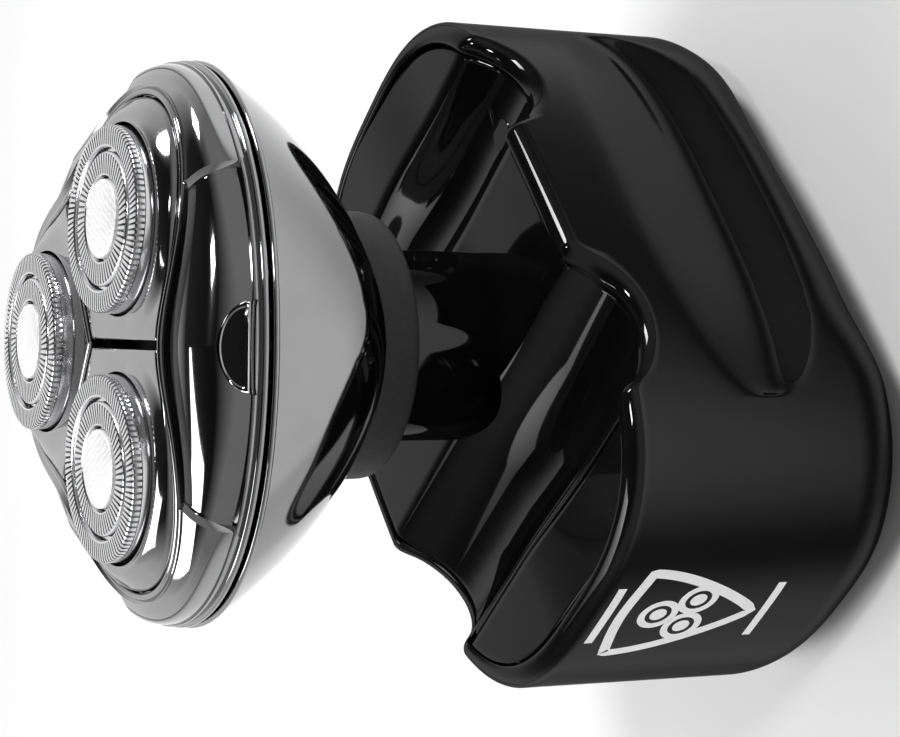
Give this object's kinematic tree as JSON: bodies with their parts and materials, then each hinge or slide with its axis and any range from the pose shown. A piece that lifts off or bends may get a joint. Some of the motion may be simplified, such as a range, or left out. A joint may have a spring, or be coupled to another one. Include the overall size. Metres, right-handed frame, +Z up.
{
  "type": "rotary palm shaver",
  "caption": "Palm-held rotary shaver: glossy scooped handle with two finger channels, a short neck, and a flexing three-cutter head that pulls off and opens on a hinge",
  "frame": {"origin": "centre of the flat palm face that the handle rests on, on the neck axis", "axes": "+Z up along the neck towards the cutters, X along the handle with the power button at +X, thumb scoop at -Y"},
  "size_m": [0.0907, 0.0686, 0.098],
  "materials": {
    "gloss_black": "high-gloss moulded black",
    "chrome_black": "black chrome plate",
    "rubber_black": "matte black rubber",
    "polished_steel": "polished steel",
    "satin_steel": "satin steel",
    "nylon_black": "moulded nylon",
    "acetal_white": "natural acetal",
    "brass_part": "machined brass",
    "board_green": "circuit board",
    "cell_wrap": "shrink wrap on a battery cell",
    "light_lens": "clear light window"
  },
  "bodies": {
    "handle": {"outer_shell": "gloss_black", "underside_panel": "gloss_black", "underside_wing_left": "gloss_black", "underside_wing_right": "gloss_black", "screw_plug_1": "gloss_black", "screw_plug_2": "gloss_black", "case_screw_1": "polished_steel", "case_screw_2": "polished_steel", "battery_cell_1": "cell_wrap", "battery_cell_2": "cell_wrap", "inner_chassis": "nylon_black", "main_board": "board_green", "charging_socket": "nylon_black", "tactile_switch": "nylon_black", "status_light": "light_lens", "motor_can": "polished_steel", "motor_bracket": "nylon_black", "neck_bearing": "brass_part", "neck_tube": "gloss_black"},
    "power_button": {"power_button": "rubber_black"},
    "drive_shaft": {"drive_shaft": "polished_steel", "motor_rotor": "polished_steel"},
    "gimbal": {"gimbal_ring": "polished_steel"},
    "coupler": {"head_coupler": "nylon_black"},
    "head_base": {"collar_boot": "rubber_black", "base_bowl": "chrome_black", "gear_tray": "nylon_black", "gear_cover": "nylon_black", "hinge_pin": "polished_steel"},
    "sun_gear": {"sun_gear": "brass_part"},
    "face": {"head_ring": "chrome_black", "blade_retainer": "nylon_black"},
    "release_button": {"release_button": "chrome_black"},
    "spindle_1": {"spindle_gear_1": "acetal_white"},
    "petal_1": {"petal_1": "chrome_black"},
    "cutter_1": {"cutter_cap_1": "polished_steel", "centre_disc_1": "satin_steel"},
    "blade_1": {"rotary_blade_1": "polished_steel"},
    "spindle_2": {"spindle_gear_2": "acetal_white"},
    "petal_2": {"petal_2": "chrome_black"},
    "cutter_2": {"cutter_cap_2": "polished_steel", "centre_disc_2": "satin_steel"},
    "blade_2": {"rotary_blade_2": "polished_steel"},
    "spindle_3": {"spindle_gear_3": "acetal_white"},
    "petal_3": {"petal_3": "chrome_black"},
    "cutter_3": {"cutter_cap_3": "polished_steel", "centre_disc_3": "satin_steel"},
    "blade_3": {"rotary_blade_3": "polished_steel"}
  },
  "joints": [
    {"name": "power_press", "type": "slide", "parent": "handle", "child": "power_button", "axis": [-1, 0, 0], "range_m": [0, 0.0006], "stiffness_N_per_m": 500},
    {"name": "drive_spin", "type": "hinge", "parent": "handle", "child": "drive_shaft", "pos_m": [0, 0, 0.0576], "axis": [0, 0, 1], "continuous": true},
    {"name": "gimbal_tilt", "type": "hinge", "parent": "handle", "child": "gimbal", "pos_m": [0, 0, 0.0621], "axis": [1, 0, 0], "range_deg": [-8, 8], "stiffness_Nm_per_rad": 0.8},
    {"name": "head_tilt", "type": "hinge", "parent": "gimbal", "child": "coupler", "pos_m": [0, 0, 0.0621], "axis": [0, 1, 0], "range_deg": [-8, 8], "stiffness_Nm_per_rad": 0.8},
    {"name": "head_lift", "type": "slide", "parent": "coupler", "child": "head_base", "axis": [0, 0, 1], "range_m": [0, 0.022]},
    {"name": "sun_spin", "type": "hinge", "parent": "head_base", "child": "sun_gear", "pos_m": [0, 0, 0.0806], "axis": [0, 0, 1], "continuous": true},
    {"name": "face_open", "type": "hinge", "parent": "head_base", "child": "face", "pos_m": [0.02422, 0.0269, 0.0857], "axis": [-0.7431, 0.6691, 0], "range_deg": [0, 100]},
    {"name": "release_press", "type": "slide", "parent": "face", "child": "release_button", "axis": [0.3875, 0.4303, -0.8153], "range_m": [0, 0.001], "stiffness_N_per_m": 500},
    {"name": "spindle_1_spin", "type": "hinge", "parent": "head_base", "child": "spindle_1", "pos_m": [0.00533, -0.01641, 0.0806], "axis": [0, 0, 1], "continuous": true},
    {"name": "petal_1_tilt", "type": "hinge", "parent": "face", "child": "petal_1", "pos_m": [0.00533, -0.01641, 0.0936], "axis": [0.9511, 0.309, 0], "range_deg": [-3, 3], "stiffness_Nm_per_rad": 0.2},
    {"name": "cutter_1_press", "type": "slide", "parent": "petal_1", "child": "cutter_1", "axis": [-0.0113, 0.0349, -0.9993], "range_m": [0, 0.0015], "stiffness_N_per_m": 600},
    {"name": "blade_1_spin", "type": "hinge", "parent": "cutter_1", "child": "blade_1", "pos_m": [0.00533, -0.01641, 0.0976], "axis": [0.0113, -0.0349, 0.9993], "continuous": true},
    {"name": "spindle_2_spin", "type": "hinge", "parent": "head_base", "child": "spindle_2", "pos_m": [0.01154, 0.01282, 0.0806], "axis": [0, 0, 1], "continuous": true},
    {"name": "petal_2_tilt", "type": "hinge", "parent": "face", "child": "petal_2", "pos_m": [0.01154, 0.01282, 0.0936], "axis": [-0.7431, 0.6691, 0], "range_deg": [-3, 3], "stiffness_Nm_per_rad": 0.2},
    {"name": "cutter_2_press", "type": "slide", "parent": "petal_2", "child": "cutter_2", "axis": [-0.0245, -0.0272, -0.9993], "range_m": [0, 0.0015], "stiffness_N_per_m": 600},
    {"name": "blade_2_spin", "type": "hinge", "parent": "cutter_2", "child": "blade_2", "pos_m": [0.01154, 0.01282, 0.0976], "axis": [0.0245, 0.0272, 0.9993], "continuous": true},
    {"name": "spindle_3_spin", "type": "hinge", "parent": "head_base", "child": "spindle_3", "pos_m": [-0.01687, 0.00359, 0.0806], "axis": [0, 0, 1], "continuous": true},
    {"name": "petal_3_tilt", "type": "hinge", "parent": "face", "child": "petal_3", "pos_m": [-0.01687, 0.00359, 0.0936], "axis": [-0.2079, -0.9781, 0], "range_deg": [-3, 3], "stiffness_Nm_per_rad": 0.2},
    {"name": "cutter_3_press", "type": "slide", "parent": "petal_3", "child": "cutter_3", "axis": [0.0358, -0.0076, -0.9993], "range_m": [0, 0.0015], "stiffness_N_per_m": 600},
    {"name": "blade_3_spin", "type": "hinge", "parent": "cutter_3", "child": "blade_3", "pos_m": [-0.01687, 0.00359, 0.0976], "axis": [-0.0358, 0.0076, 0.9993], "continuous": true}
  ],
  "couplings": [
    {"joint": "sun_spin", "follows": "drive_spin", "ratio": 1},
    {"joint": "spindle_1_spin", "follows": "drive_spin", "ratio": -0.71429},
    {"joint": "blade_1_spin", "follows": "drive_spin", "ratio": -0.71429},
    {"joint": "spindle_2_spin", "follows": "drive_spin", "ratio": -0.71429},
    {"joint": "blade_2_spin", "follows": "drive_spin", "ratio": -0.71429},
    {"joint": "spindle_3_spin", "follows": "drive_spin", "ratio": -0.71429},
    {"joint": "blade_3_spin", "follows": "drive_spin", "ratio": -0.71429}
  ]
}
